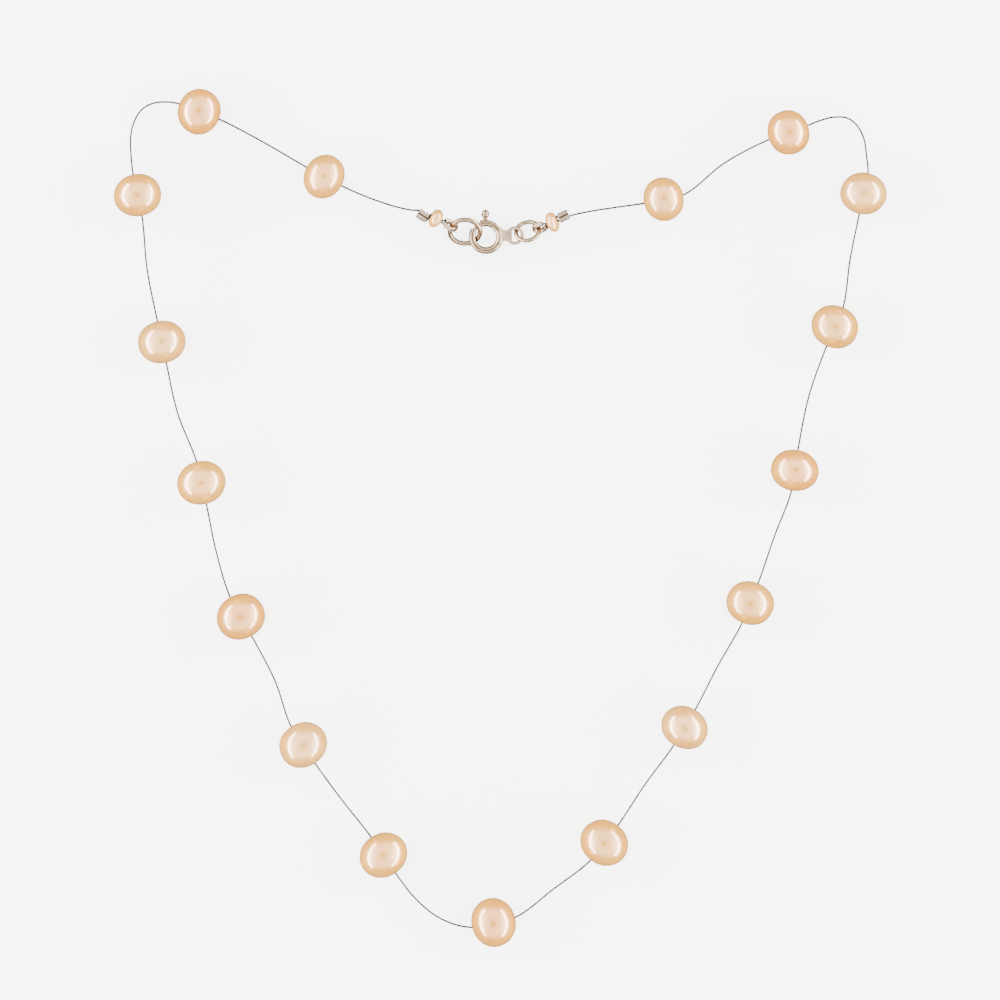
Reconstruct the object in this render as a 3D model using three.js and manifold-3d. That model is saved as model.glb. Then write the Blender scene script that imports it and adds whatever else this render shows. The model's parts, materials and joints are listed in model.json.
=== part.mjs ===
// Pearl station necklace: seventeen freshwater pearls set an inch apart on a fine steel
// beading wire, closed at the back by a spring-ring clasp between two jump rings.
// Millimetres, +Z up. The necklace lies open on a flat surface at z = 0, with its clasp at
// the +Y side. The origin is at the middle of its outline, on that surface.
import * as THREE from 'three';
import { mergeVertices } from 'three/addons/utils/BufferGeometryUtils.js';
import Module from 'manifold-3d';

const wasm = await Module();
wasm.setup();

// ---- driving dimensions ----------------------------------------------------------------

// Beading wire
const WIRE_R = 0.17;
const WIRE_SIDES = 8;
const STRAND_SPREAD_CRIMP = 0.45; // half the distance between the doubled strands
const STRAND_SPREAD_PEARL = 0.26;
const STRAND_GAP = { left: 0.7, right: 0.44 }; // bare strands between guard and end pearl
const STRAND_STUB = 0.1; // the strands leave the crimp straight for this far

// Main pearls, in order along the wire from the clasp's left side to its right side.
// x and y: centre. across: diameter seen across the wire. along: length on the wire.
// heading: direction of the drilled bore, in degrees from +X.
const PEARL_BORE_R = 0.4;
const PEARL_SEGMENTS = 16;
const PEARLS = [
  { x: -31.4, y: 60.6, across: 8.0, along: 7.0, heading: 152 },
  { x: -53.5, y: 72.1, across: 8.1, along: 7.5, heading: 159 },
  { x: -64.4, y: 57.3, across: 8.4, along: 7.5, heading: -78 },
  { x: -60.1, y: 31.3, across: 8.6, along: 7.5, heading: -78 },
  { x: -53.1, y: 6.4, across: 8.6, along: 7.7, heading: -77 },
  { x: -46.1, y: -17.3, across: 8.7, along: 7.9, heading: -61 },
  { x: -35.1, y: -40.0, across: 8.7, along: 7.8, heading: -57 },
  { x: -20.9, y: -59.5, across: 8.7, along: 7.7, heading: -56 },
  { x: -1.4, y: -71.4, across: 8.8, along: 7.8, heading: 13 },
  { x: 18.2, y: -57.3, across: 8.8, along: 7.8, heading: 52 },
  { x: 32.4, y: -36.9, across: 8.6, along: 7.3, heading: 59 },
  { x: 44.0, y: -14.9, across: 8.6, along: 7.6, heading: 68 },
  { x: 51.9, y: 8.6, across: 8.5, along: 7.3, heading: 81 },
  { x: 59.0, y: 34.0, across: 8.4, along: 7.5, heading: 67 },
  { x: 64.1, y: 57.6, across: 8.2, along: 7.4, heading: 78 },
  { x: 50.8, y: 68.4, across: 8.0, along: 7.3, heading: -160 },
  { x: 28.7, y: 56.6, across: 7.8, along: 7.1, heading: -168 },
];

// The wire's free stretches: the points between one pearl and the next, in the same order.
// The first stretch runs from the left crimp to the first pearl, the last one from the
// last pearl to the right crimp.
const STRETCHES = [
  [[-15.7, 54.62], [-18.9, 55.3], [-23.6, 56.9]],
  [[-42.2, 66.7]],
  [[-59.4, 73.8], [-61.8, 73.5], [-63.7, 72.4], [-65.0, 70.3], [-65.6, 67.8], [-65.6, 64.9]],
  [[-62.7, 44.1]],
  [[-57.3, 18.7]],
  [[-50.5, -5.7]],
  [[-40.1, -28.6]],
  [[-28.1, -49.9]],
  [[-15.1, -67.3], [-10.8, -70.7]],
  [[9.2, -65.5]],
  [[25.4, -47.0]],
  [[38.3, -26.0]],
  [[48.3, -3.1]],
  [[54.4, 21.7]],
  [[61.7, 45.9]],
  [[64.6, 64.3], [64.2, 67.1], [63.1, 69.4], [61.3, 70.9], [58.8, 71.1], [56.4, 70.5]],
  [[39.5, 63.0]],
  [[20.6, 55.2], [16.6, 54.6], [13.5, 54.0]],
];

// Small end pearls, threaded on the doubled wire between crimp and wire guard. heading and
// fall give the bore's direction towards the guard: fall is degrees below the horizontal.
const END_PEARL_BORE_R = 0.6;
const END_PEARLS = {
  left: { across: 3.4, along: 2.2, heading: -26, fall: 10 },
  right: { across: 3.7, along: 2.1, heading: 203, fall: 12 },
};

// Crimp tube, pressed into two lobes side by side, one strand in each. back and aside
// place its middle from the end pearl's middle, along and across the pearl's axis.
const CRIMPS = {
  left: { heading: -32, fall: 6, back: 2.35, aside: -0.6 },
  right: { heading: 205, fall: 5, back: 2.27, aside: -0.15 },
};
const CRIMP_LENGTH = 1.9;
const CRIMP_LOBE_R = 0.45;
const CRIMP_LOBE_HOLE_R = 0.24;
const CRIMP_WAIST = 0.36;

// Wire guard: a horseshoe of fine tube, open outwards round its bend. Its direction runs
// from the legs' ends to the bend.
const GUARDS = {
  left: { heading: -25, fall: 13.5 },
  right: { heading: 203, fall: 34 },
};
const GUARD_BEND_R = 1.05;
const GUARD_TUBE_R = 0.46;
const GUARD_TUBE_HOLE_R = 0.26;
const GUARD_LEG = 1.35; // from the bend's centre back to the legs' ends
const GUARD_LEG_SPREAD = 0.62; // half the distance between the legs' ends
const GUARD_OPEN_HALF_ANGLE = 60;

// Jump rings. tilt turns a ring about its own level long axis, which points along heading.
const JUMP_RINGS = {
  left: { x: -6.47, y: 50.9, z: 2.19, radius: 2.68, wire: 0.42, heading: -1, tilt: 40.5 },
  right: { x: 4.64, y: 50.99, z: 1.92, radius: 2.09, wire: 0.37, heading: 17, tilt: -38 },
};
const JUMP_RING_SEAM = 1; // degrees of gap where the ring's ends meet

// Where each guard hooks its jump ring, in degrees round the ring
const HOOK_ANGLE = { left: 153, right: 0 };

// Spring-ring clasp: angles in degrees round its centre, from +X towards +Y
const CLASP = { x: -2.74, y: 50.0, z: 1.95 };
const CLASP_R = 2.44;
const CLASP_TUBE_R = 0.62;
const CLASP_TUBE_HOLE_R = 0.45;
const CLASP_MOUTH = { far: 150, near: 113 };
const SLOT = { from: 34, to: 102, height: 0.64 };
const BOLT_R = 0.36;
const BOLT = { rear: 75, tip: 156 };
const KNOB = { angle: 91.5, centre: 4.07, ballR: 0.72, neckWidth: 0.9, neckHeight: 0.5 };
const SPRING = { front: 72.5, rear: -60, coilR: 0.3, wireR: 0.06, turns: 14 };
const SPRING_STOP = { angle: -62.5, thickness: 0.14 };

// Tail of the clasp: a flat neck that ends in a round eye for the right jump ring
const TAIL_THICKNESS = 0.6;
const EYE = { x: 2.35, y: 50.21, radius: 1.35, wire: 0.28 };
const NECK = {
  gap: 0.04, // between the neck and the clasp's tube
  lower: -22, // where its edges leave the tube, in degrees round the clasp
  upper: 28,
  waistX: 3.5,
  waistHalf: 0.96,
  claspCurve: 0.3, // how far before and after the waist its edges' control points lie
  eyeCurve: 0.4,
  eyeHalf: 1.45,
  eyeOverlap: 0.55,
};

// ---- small helpers -----------------------------------------------------------------------

const UP = new THREE.Vector3(0, 0, 1);
const rad = THREE.MathUtils.degToRad;

const METAL = { color: 0xcfc6bc, roughness: 0.25, metalness: 1 };
const STEEL_WIRE = { color: 0x9a9a9a, roughness: 0.4, metalness: 1 };
const NACRE = { color: 0xeac096, roughness: 0.22, metalness: 0 };
const SPRING_METAL = { color: 0xb89a5a, roughness: 0.35, metalness: 1 };

const necklace = new THREE.Group();

function add(name, geometry, finish, matrix) {
  const mesh = new THREE.Mesh(geometry, new THREE.MeshStandardMaterial(finish));
  mesh.name = name;
  if (matrix) mesh.applyMatrix4(matrix);
  necklace.add(mesh);
  return mesh;
}

// A level heading in degrees, falling by fall degrees below the horizontal
function direction({ heading, fall = 0 }) {
  const level = Math.cos(rad(fall));
  return new THREE.Vector3(
    level * Math.cos(rad(heading)),
    level * Math.sin(rad(heading)),
    -Math.sin(rad(fall)),
  );
}

// Puts local +X along forward and local +Y as near as possible to side, at origin
function placement(origin, forward, side) {
  const x = forward.clone().normalize();
  const z = new THREE.Vector3().crossVectors(x, side).normalize();
  const y = new THREE.Vector3().crossVectors(z, x);
  return new THREE.Matrix4().makeBasis(x, y, z).setPosition(origin);
}

function along(origin, forward, distance) {
  return origin.clone().addScaledVector(forward, distance);
}

// A path with one extrusion step from each of its points to the next
class PointPath extends THREE.Curve {
  constructor(points) {
    super();
    this.points = points;
  }

  index(u) {
    return Math.round(u * (this.points.length - 1));
  }

  getPointAt(u, target = new THREE.Vector3()) {
    return target.copy(this.points[this.index(u)]);
  }

  getTangentAt(u, target = new THREE.Vector3()) {
    const i = this.index(u);
    const last = this.points.length - 1;
    const here = this.points[i];
    const into = new THREE.Vector3().subVectors(here, this.points[Math.max(i - 1, 0)]);
    const away = new THREE.Vector3().subVectors(this.points[Math.min(i + 1, last)], here);
    return target.copy(into.normalize()).add(away.normalize()).normalize();
  }
}

// A round section as a polygon of points, with a round hole where hole is given
function roundSection(radius, sides, hole = 0) {
  const ring = (r) => {
    const corner = (_, i) => {
      const angle = (2 * Math.PI * i) / sides;
      return new THREE.Vector2(r * Math.cos(angle), r * Math.sin(angle));
    };
    return Array.from({ length: sides }, corner);
  };
  const shape = new THREE.Shape(ring(radius));
  if (hole > 0) shape.holes.push(new THREE.Path(ring(hole).reverse()));
  return shape;
}

function tube(points, radius, sides, hole = 0) {
  return new THREE.ExtrudeGeometry(roundSection(radius, sides, hole), {
    steps: points.length - 1,
    extrudePath: new PointPath(points),
  });
}

// Points of a level arc about the local origin, from one angle to another in degrees
function arcPoints(radius, from, to, steps) {
  const point = (_, i) => {
    const angle = rad(from + ((to - from) * i) / steps);
    return new THREE.Vector3(radius * Math.cos(angle), radius * Math.sin(angle), 0);
  };
  return Array.from({ length: steps + 1 }, point);
}

// A block that fills an arc-shaped band, centred on the local XY plane
function arcBand(inner, outer, from, to, height) {
  const shape = new THREE.Shape();
  shape.absarc(0, 0, outer, rad(from), rad(to), false);
  shape.absarc(0, 0, inner, rad(to), rad(from), true);
  const band = new THREE.ExtrudeGeometry(shape, {
    depth: height,
    bevelEnabled: false,
    curveSegments: 8,
  });
  return band.translate(0, 0, -height / 2);
}

function toSolid(geometry) {
  const bare = geometry.clone();
  bare.deleteAttribute('normal');
  bare.deleteAttribute('uv');
  const merged = mergeVertices(bare, 1e-5);
  return new wasm.Manifold(new wasm.Mesh({
    numProp: 3,
    vertProperties: new Float32Array(merged.attributes.position.array),
    triVerts: new Uint32Array(merged.index.array),
  }));
}

function toGeometry(solid) {
  const { vertProperties, triVerts } = solid.getMesh();
  const geometry = new THREE.BufferGeometry();
  geometry.setAttribute('position', new THREE.BufferAttribute(vertProperties, 3));
  geometry.setIndex(new THREE.BufferAttribute(triVerts, 1));
  geometry.computeVertexNormals();
  return geometry;
}

// ---- pearls ------------------------------------------------------------------------------

// A drilled button pearl, turned about its bore, which lies along local +X
function pearlGeometry({ across, along: length }, bore, steps) {
  const start = Math.asin(bore / (across / 2));
  const profile = [];
  for (let i = 0; i <= steps; i++) {
    const angle = start + ((Math.PI - 2 * start) * i) / steps;
    const radius = i % steps === 0 ? bore : (across / 2) * Math.sin(angle);
    profile.push(new THREE.Vector2(radius, -(length / 2) * Math.cos(angle)));
  }
  profile.push(profile[0].clone());
  return new THREE.LatheGeometry(profile, PEARL_SEGMENTS).rotateZ(-Math.PI / 2);
}

function pearlCentre(pearl) {
  return new THREE.Vector3(pearl.x, pearl.y, pearl.across / 2);
}

function addMainPearls() {
  PEARLS.forEach((pearl, i) => {
    const name = `pearl_${String(i + 1).padStart(2, '0')}`;
    const geometry = pearlGeometry(pearl, PEARL_BORE_R, 8);
    add(name, geometry, NACRE, placement(pearlCentre(pearl), direction(pearl), UP));
  });
}

// ---- the two ends of the strand ----------------------------------------------------------

// A jump ring's own frame: local X and Y span the ring, local Z is its axis
function ringMatrix(ring) {
  const turn = new THREE.Matrix4().makeRotationZ(rad(ring.heading));
  const tip = new THREE.Matrix4().makeRotationX(rad(ring.tilt));
  return new THREE.Matrix4().setPosition(ring.x, ring.y, ring.z).multiply(turn).multiply(tip);
}

// Where one end's guard, pearl and crimp sit. The guard's bend is centred on the jump
// ring's wire, and its plane is as square to that wire as its own direction allows.
function endLayout(side) {
  const ring = JUMP_RINGS[side];
  const matrix = ringMatrix(ring);
  const angle = rad(HOOK_ANGLE[side]);
  const [cos, sin] = [Math.cos(angle), Math.sin(angle)];
  const hook = new THREE.Vector3(ring.radius * cos, ring.radius * sin, 0).applyMatrix4(matrix);
  const ringRun = new THREE.Vector3(-sin, cos, 0).transformDirection(matrix);
  const guardAxis = direction(GUARDS[side]);
  const pearlAxis = direction(END_PEARLS[side]);
  const crimpAxis = direction(CRIMPS[side]);

  const mouth = along(hook, guardAxis, -GUARD_LEG);
  const pearlBack = STRAND_GAP[side] + END_PEARLS[side].along / 2;
  const pearlMid = along(mouth, pearlAxis, -pearlBack);
  const pearlSide = new THREE.Vector3().crossVectors(UP, pearlAxis).normalize();
  const crimpMid = along(pearlMid, pearlAxis, -CRIMPS[side].back);
  crimpMid.addScaledVector(pearlSide, CRIMPS[side].aside);

  // the trimmed tail lies in the lobe to the right of the crimp's own direction, and takes
  // the nearer leg of the guard
  const tailSide = new THREE.Vector3().crossVectors(crimpAxis, UP).normalize();
  const spread = new THREE.Vector3().crossVectors(ringRun, guardAxis).normalize();
  if (spread.dot(tailSide) < 0) spread.negate();
  return { hook, guardAxis, spread, pearlMid, pearlAxis, crimpMid, crimpAxis, tailSide };
}

const ENDS = { left: endLayout('left'), right: endLayout('right') };

function crimpGeometry() {
  const pinch = Math.asin(CRIMP_WAIST / 2 / CRIMP_LOBE_R);
  const turn = Math.PI - pinch;
  const shape = new THREE.Shape();
  shape.absarc(CRIMP_LOBE_R, 0, CRIMP_LOBE_R, -turn, turn, false);
  shape.absarc(-CRIMP_LOBE_R, 0, CRIMP_LOBE_R, pinch, 2 * Math.PI - pinch, false);
  for (const x of [-CRIMP_LOBE_R, CRIMP_LOBE_R]) {
    const hole = new THREE.Path();
    hole.absarc(x, 0, CRIMP_LOBE_HOLE_R, 0, 2 * Math.PI, true);
    shape.holes.push(hole);
  }
  const body = new THREE.ExtrudeGeometry(shape, {
    depth: CRIMP_LENGTH,
    bevelEnabled: false,
    curveSegments: 10,
  });
  // the tube's length onto local X, its two lobes side by side along local Y
  return body.translate(0, 0, -CRIMP_LENGTH / 2).rotateY(Math.PI / 2).rotateX(Math.PI / 2);
}

// Guard outline in its own plane: local X runs from the pearl to the bend
function guardPath() {
  const reach = Math.hypot(GUARD_LEG, GUARD_LEG_SPREAD);
  const legAngle = Math.atan2(GUARD_LEG_SPREAD, -GUARD_LEG);
  const touch = THREE.MathUtils.radToDeg(legAngle - Math.acos(GUARD_BEND_R / reach));
  const bend = arcPoints(GUARD_BEND_R, touch, -touch, 10);
  const legEnd = (sign) => new THREE.Vector3(-GUARD_LEG, sign * GUARD_LEG_SPREAD, 0);
  return [legEnd(1), ...bend, legEnd(-1)];
}

function guardGeometry() {
  const whole = toSolid(tube(guardPath(), GUARD_TUBE_R, WIRE_SIDES, GUARD_TUBE_HOLE_R));
  const outer = GUARD_BEND_R + 2 * GUARD_TUBE_R;
  const half = GUARD_OPEN_HALF_ANGLE;
  const opening = toSolid(arcBand(GUARD_BEND_R, outer, -half, half, 3 * GUARD_TUBE_R));
  return toGeometry(whole.subtract(opening));
}

function jumpRingGeometry(ring) {
  const start = HOOK_ANGLE.left - 90; // the seam stays clear of both neighbours
  const points = arcPoints(ring.radius, start, start + 360 - JUMP_RING_SEAM, 26);
  return tube(points, ring.wire, 8);
}

function addEnd(side) {
  const end = ENDS[side];
  const pearl = pearlGeometry(END_PEARLS[side], END_PEARL_BORE_R, 7);
  const ring = JUMP_RINGS[side];
  add(`crimp_tube_${side}`, crimpGeometry(), METAL,
    placement(end.crimpMid, end.crimpAxis, end.tailSide));
  add(`end_pearl_${side}`, pearl, NACRE, placement(end.pearlMid, end.pearlAxis, UP));
  add(`wire_guard_${side}`, guardGeometry(), METAL,
    placement(end.hook, end.guardAxis, end.spread));
  add(`jump_ring_${side}`, jumpRingGeometry(ring), METAL, ringMatrix(ring));
}

// ---- beading wire --------------------------------------------------------------------------

// One doubled end: the trimmed tail in the crimp, through the pearl, round the guard and back
function doubledEnd(side) {
  const end = ENDS[side];
  const crimpHalf = CRIMP_LENGTH / 2;
  const pearlHalf = END_PEARLS[side].along / 2;
  const middle = end.tailSide.clone().add(end.spread).normalize();
  const strandPoint = (centre, axis, distance, sideways, offset) => (
    along(along(centre, axis, distance), sideways, offset)
  );
  const strand = (sign) => {
    const inCrimp = sign * STRAND_SPREAD_CRIMP;
    const inPearl = sign * STRAND_SPREAD_PEARL;
    const stub = crimpHalf + STRAND_STUB;
    return [
      strandPoint(end.crimpMid, end.crimpAxis, -crimpHalf, end.tailSide, inCrimp),
      strandPoint(end.crimpMid, end.crimpAxis, stub, end.tailSide, inCrimp),
      strandPoint(end.pearlMid, end.pearlAxis, -pearlHalf, middle, inPearl),
      strandPoint(end.pearlMid, end.pearlAxis, pearlHalf, end.spread, inPearl),
    ];
  };
  const guard = placement(end.hook, end.guardAxis, end.spread);
  const loop = guardPath().map((point) => point.applyMatrix4(guard));
  return [...strand(1), ...loop, ...strand(-1).reverse()];
}

// From one height to the next along a free stretch, in step with its points
function stretchPoints(points, from, to) {
  return points.map(([x, y], i) => {
    const share = (i + 1) / (points.length + 1);
    return new THREE.Vector3(x, y, THREE.MathUtils.lerp(from.z, to.z, share));
  });
}

function wirePath() {
  const left = doubledEnd('left');
  const right = doubledEnd('right').reverse();
  const path = [...left];
  PEARLS.forEach((pearl, i) => {
    const centre = pearlCentre(pearl);
    const bore = direction(pearl);
    const entry = along(centre, bore, -pearl.along / 2);
    path.push(...stretchPoints(STRETCHES[i], path.at(-1), entry));
    path.push(entry, along(centre, bore, pearl.along / 2));
  });
  path.push(...stretchPoints(STRETCHES.at(-1), path.at(-1), right[0]));
  return [...path, ...right];
}

function addWire() {
  add('beading_wire', tube(wirePath(), WIRE_R, WIRE_SIDES), STEEL_WIRE);
}

// ---- spring-ring clasp -----------------------------------------------------------------------

const CLASP_MATRIX = new THREE.Matrix4().setPosition(CLASP.x, CLASP.y, CLASP.z);

// A C-shaped hollow ring, slotted on its outside for the knob, with a stop in its bore
function claspTubeGeometry() {
  const arc = arcPoints(CLASP_R, CLASP_MOUTH.far, CLASP_MOUTH.near + 360, 24);
  const pipe = toSolid(tube(arc, CLASP_TUBE_R, 10, CLASP_TUBE_HOLE_R));
  const beyond = CLASP_R + 2 * CLASP_TUBE_R;
  const slot = toSolid(arcBand(CLASP_R, beyond, SLOT.from, SLOT.to, SLOT.height));
  const stopRadius = (CLASP_TUBE_R + CLASP_TUBE_HOLE_R) / 2;
  const stop = new THREE.CylinderGeometry(stopRadius, stopRadius, SPRING_STOP.thickness, 12);
  stop.translate(CLASP_R, 0, 0).rotateZ(rad(SPRING_STOP.angle));
  return toGeometry(pipe.subtract(slot).add(toSolid(stop)));
}

// The flat neck, hollowed at its start to fit round the clasp's tube
function neckShape() {
  const hug = CLASP_R + CLASP_TUBE_R + NECK.gap;
  const eyeX = EYE.x - CLASP.x - NECK.eyeOverlap;
  const midY = EYE.y - CLASP.y;
  const { waistX, waistHalf, eyeHalf } = NECK;
  const clasp = waistX - NECK.claspCurve;
  const eye = waistX + NECK.eyeCurve;
  const foot = rad(NECK.lower);
  const shape = new THREE.Shape();
  shape.absarc(0, 0, hug, foot, rad(NECK.upper), false);
  shape.quadraticCurveTo(clasp, midY + waistHalf, waistX, midY + waistHalf);
  shape.quadraticCurveTo(eye, midY + waistHalf, eyeX, midY + eyeHalf);
  shape.lineTo(eyeX, midY - eyeHalf);
  shape.quadraticCurveTo(eye, midY - waistHalf, waistX, midY - waistHalf);
  shape.quadraticCurveTo(clasp, midY - waistHalf, hug * Math.cos(foot), hug * Math.sin(foot));
  return shape;
}

function claspTailGeometry() {
  const neck = new THREE.ExtrudeGeometry(neckShape(), {
    depth: TAIL_THICKNESS,
    bevelEnabled: false,
    curveSegments: 6,
  });
  neck.translate(0, 0, -TAIL_THICKNESS / 2);
  const eye = new THREE.TorusGeometry(EYE.radius, EYE.wire, 8, 22);
  eye.translate(EYE.x - CLASP.x, EYE.y - CLASP.y, 0);
  return toGeometry(toSolid(neck).add(toSolid(eye)));
}

function claspBoltGeometry() {
  return tube(arcPoints(CLASP_R, BOLT.rear, BOLT.tip, 10), BOLT_R, 10);
}

// Ball and flat neck of the thumb knob, whose neck stands on the bolt through the slot
function claspKnobGeometry() {
  const weldGap = 0.03;
  const foot = CLASP_R + BOLT_R + weldGap;
  const neckLength = KNOB.centre - foot;
  const neck = new THREE.BoxGeometry(neckLength, KNOB.neckWidth, KNOB.neckHeight);
  neck.translate(foot + neckLength / 2, 0, 0);
  const ball = new THREE.SphereGeometry(KNOB.ballR, 12, 8);
  ball.translate(KNOB.centre, 0, 0);
  return toGeometry(toSolid(neck).add(toSolid(ball))).rotateZ(rad(KNOB.angle));
}

function claspSpringGeometry() {
  const stepsPerTurn = 8;
  const steps = SPRING.turns * stepsPerTurn;
  const points = [];
  for (let i = 0; i <= steps; i++) {
    const claspAngle = rad(THREE.MathUtils.lerp(SPRING.front, SPRING.rear, i / steps));
    const coilAngle = (2 * Math.PI * i) / stepsPerTurn;
    const radius = CLASP_R + SPRING.coilR * Math.cos(coilAngle);
    const height = SPRING.coilR * Math.sin(coilAngle);
    points.push(new THREE.Vector3(
      radius * Math.cos(claspAngle),
      radius * Math.sin(claspAngle),
      height,
    ));
  }
  return tube(points, SPRING.wireR, 4);
}

function addClasp() {
  add('clasp_tube', claspTubeGeometry(), METAL, CLASP_MATRIX);
  add('clasp_tail', claspTailGeometry(), METAL, CLASP_MATRIX);
  add('clasp_bolt', claspBoltGeometry(), METAL, CLASP_MATRIX);
  add('clasp_knob', claspKnobGeometry(), METAL, CLASP_MATRIX);
  add('clasp_spring', claspSpringGeometry(), SPRING_METAL, CLASP_MATRIX);
}

// ---- assembly --------------------------------------------------------------------------------

addWire();
addMainPearls();
addEnd('left');
addEnd('right');
addClasp();

export default necklace;
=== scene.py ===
import json
import math

import bmesh
import bpy
import numpy as np
from mathutils import Matrix, Vector, noise


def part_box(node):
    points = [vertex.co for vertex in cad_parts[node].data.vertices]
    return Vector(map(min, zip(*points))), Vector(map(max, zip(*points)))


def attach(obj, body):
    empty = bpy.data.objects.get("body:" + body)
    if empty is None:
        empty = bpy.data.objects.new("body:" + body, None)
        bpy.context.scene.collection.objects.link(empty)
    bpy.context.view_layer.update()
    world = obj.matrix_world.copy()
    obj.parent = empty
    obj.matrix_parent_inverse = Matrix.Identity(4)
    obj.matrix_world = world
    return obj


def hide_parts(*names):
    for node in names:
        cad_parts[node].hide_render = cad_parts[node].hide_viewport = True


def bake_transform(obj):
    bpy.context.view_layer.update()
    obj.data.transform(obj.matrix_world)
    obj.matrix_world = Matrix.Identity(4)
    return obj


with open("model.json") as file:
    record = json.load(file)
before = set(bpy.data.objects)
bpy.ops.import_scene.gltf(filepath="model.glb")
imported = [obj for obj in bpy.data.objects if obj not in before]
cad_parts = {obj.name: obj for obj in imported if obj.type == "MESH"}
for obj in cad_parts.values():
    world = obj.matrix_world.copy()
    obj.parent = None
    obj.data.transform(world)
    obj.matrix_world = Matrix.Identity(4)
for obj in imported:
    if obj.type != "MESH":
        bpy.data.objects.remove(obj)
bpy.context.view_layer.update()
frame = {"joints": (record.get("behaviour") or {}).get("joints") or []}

MM = 0.001

# ---- driving dimensions: millimetres and degrees, where no other unit is named ---------------

# Camera: straight above the necklace
VIEW_CENTRE = (-0.26, 3.34)
VIEW_WIDTH = 177
CAMERA_HEIGHT = 1400  # above the pearls' middles, where the view is VIEW_WIDTH wide
PEARL_MIDDLE = 4  # height of the pearls' middles above the table
SENSOR = 36

# Beading wire
WIRE_R = 0.17
WIRE_SPACING = 0.35  # between the rings of the wire's mesh
WIRE_STRANDS = 7.0  # steel strands seen round the wire
WIRE_LAYS = 230.0  # how often they pass a place on the wire, from one end to the other
STRAND_SPREAD_CRIMP = 0.45  # half the distance between the doubled strands
STRAND_SPREAD_PEARL = 0.26
STRAND_STUB = 0.1  # the strands leave the crimp straight for this far

# The wire's free stretches, in order from the left crimp round to the right crimp. Each is
# the list of its points between one pearl and the next.
STRETCHES = [
    [(-15.7, 54.62), (-18.9, 55.3), (-23.6, 56.9)],
    [(-42.2, 66.7)],
    [(-59.4, 73.8), (-61.8, 73.5), (-63.7, 72.4), (-65.0, 70.3), (-65.6, 67.8), (-65.6, 64.9)],
    [(-62.7, 44.1)],
    [(-57.3, 18.7)],
    [(-50.5, -5.7)],
    [(-40.1, -28.6)],
    [(-28.1, -49.9)],
    [(-15.1, -67.3), (-10.8, -70.7)],
    [(9.2, -65.5)],
    [(25.4, -47.0)],
    [(38.3, -26.0)],
    [(48.3, -3.1)],
    [(54.4, 21.7)],
    [(61.7, 45.9)],
    [(64.6, 64.3), (64.2, 67.1), (63.1, 69.4), (61.3, 70.9), (58.8, 71.1), (56.4, 70.5)],
    [(39.5, 63.0)],
    [(20.6, 55.2), (16.6, 54.6), (13.5, 54.0)],
]

# Main pearls in the same order: heading of the drilled bore, length on the wire, and the
# name of the nacre each one has
PEARLS = [
    (152, 7.0, "peach"),
    (159, 7.5, "apricot"),
    (-78, 7.5, "peach"),
    (-78, 7.5, "blush"),
    (-77, 7.7, "peach"),
    (-61, 7.9, "apricot"),
    (-57, 7.8, "blush"),
    (-56, 7.7, "peach"),
    (13, 7.8, "apricot"),
    (52, 7.8, "peach"),
    (59, 7.3, "blush"),
    (68, 7.6, "peach"),
    (81, 7.3, "apricot"),
    (67, 7.5, "peach"),
    (78, 7.4, "blush"),
    (-160, 7.3, "apricot"),
    (-168, 7.1, "peach"),
]
BORE_R = {"main": 0.36, "end": 0.52}
PEARL_LIP = {"rim": 0.1, "round": 0.08}  # the bore's mouth: its rim's width, and its rounding
PEARL_FULLNESS = 0.94  # below 1, a pearl is fuller than an ellipsoid
# How a freshwater pearl's surface swells: share of the radius, and frequency
PEARL_LUMPS = {"broad": (0.035, 0.9), "fine": (0.006, 2.0), "growth": (0.0015, 17)}
LUMP_FADE = 0.4  # share of the radius, out from the bore, over which the swelling sets in
END_PEARL_SWELL = 3.0  # the small end pearls are this many times more uneven
END_PEARL_SEED = 20

# The two ends of the strand: heading and fall of the guard and of the crimp, the place
# round each jump ring where its guard hooks it, and the size of the end pearl
ENDS = {
    "left": {"guard": (-25, 13.5), "crimp": (-32, 6), "hook": 153,
             "pearl_length": 2.2, "pearl_r": 1.7},
    "right": {"guard": (203, 34), "crimp": (205, 5), "hook": 0,
              "pearl_length": 2.1, "pearl_r": 1.85},
}
# Jump rings: radius of the middle line and of the wire, and where their angles start
RINGS = {
    "left": {"radius": 2.68, "wire": 0.42, "heading": -1},
    "right": {"radius": 2.09, "wire": 0.37, "heading": 17},
}
RING_SEAM = {"at": 63, "gap": 0.9}
RING_END_FILLET = 0.035
# Wire guards: radius of the bend, radius and wall of the tube, length and half spread of the legs
GUARD = {"bend_r": 1.05, "tube_r": 0.45, "wall": 0.15, "leg": 1.35, "leg_spread": 0.62}
# The slit along the guard's tube: its half angle on the legs and round the bend, and between
# which places round the bend, from its middle, it widens
GUARD_OPENING = {"leg": 7, "bend": 76, "starts": 104, "full": 70}
GUARD_EDGE = 0.03  # bevel of the guard's edges
CRIMP = {"length": 1.9, "lobe": 0.9, "waist": 0.14, "hole_r": 0.22, "hole_y": 0.45,
         "fillet": 0.07, "lobe_r": 0.45}
CRIMP_DENT = 0.25  # share of the waist's height that is pressed away halfway along
CRIMP_BLEND = 5  # the higher, the sharper the crease between lobe and waist

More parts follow.
